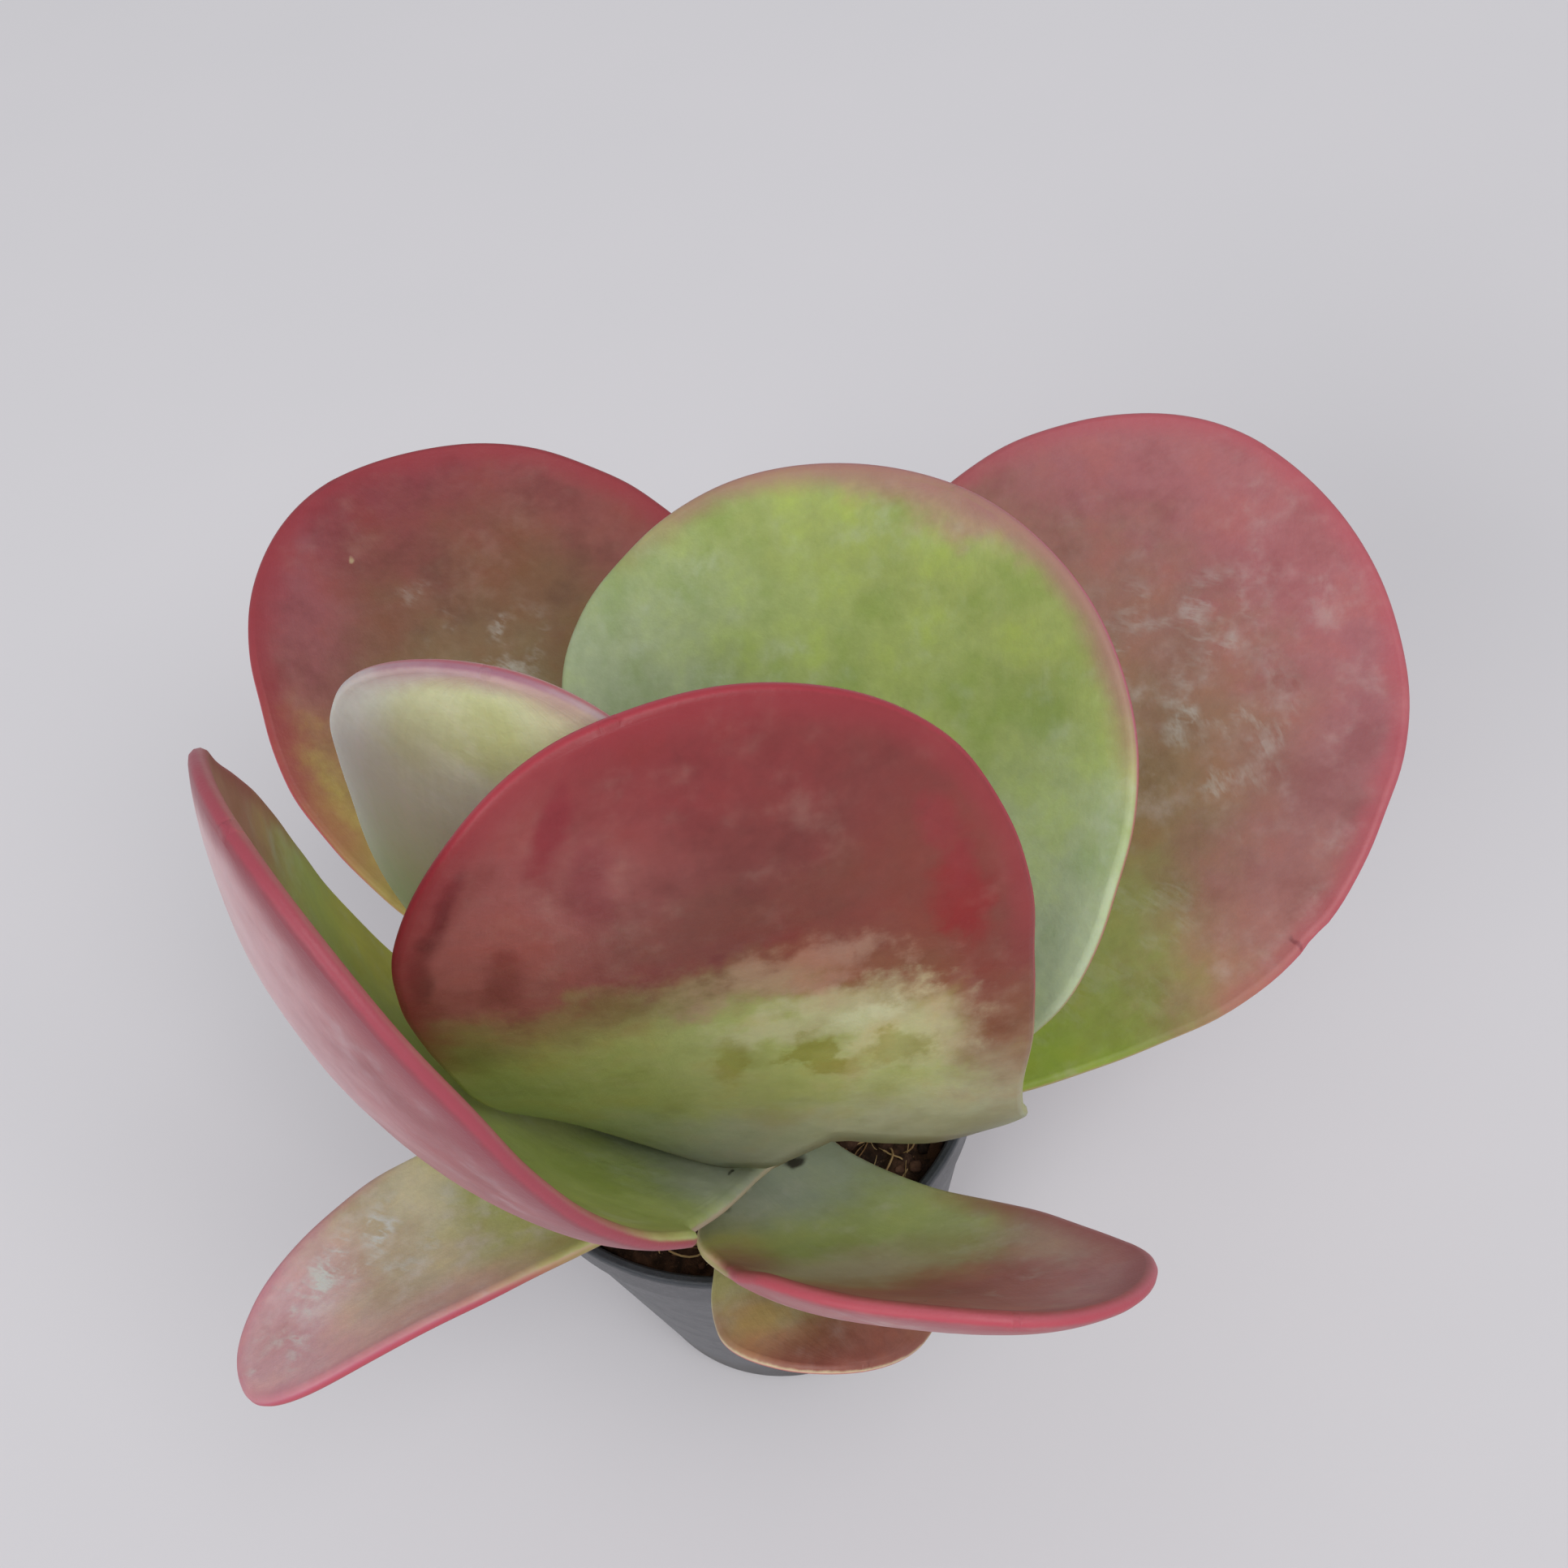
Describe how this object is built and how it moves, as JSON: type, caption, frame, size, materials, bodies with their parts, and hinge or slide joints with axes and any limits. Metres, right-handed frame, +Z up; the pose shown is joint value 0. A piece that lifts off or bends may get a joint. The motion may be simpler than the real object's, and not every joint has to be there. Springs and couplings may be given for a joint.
{
  "type": "potted paddle plant",
  "caption": "Small succulent with thick round upright leaves in crossed pairs on a short stem, growing in soil in a tapered plastic nursery pot.",
  "frame": {"origin": "middle of the pot's flat base, on the surface that the pot stands on", "axes": "+Z up, -Y towards the front, where the big red leaf stands with its back to the viewer, +X to the viewer's right"},
  "size_m": [0.1268, 0.1132, 0.1367],
  "materials": {
    "pot": "satin",
    "soil": "matte",
    "stem": "matte",
    "leaf": "satin",
    "young_leaf": "satin"
  },
  "bodies": {
    "root": {"pot": "pot", "soil": "soil", "stem": "stem", "leaf_front": "leaf", "leaf_left": "leaf", "leaf_front_right": "leaf", "leaf_back_left": "leaf", "leaf_back_right": "leaf", "leaf_back_inner": "young_leaf", "leaf_left_inner": "young_leaf", "leaf_low_left": "leaf", "leaf_low_front": "leaf", "leaf_young": "young_leaf", "bud_left": "young_leaf", "bud_right": "young_leaf"}
  },
  "joints": []
}
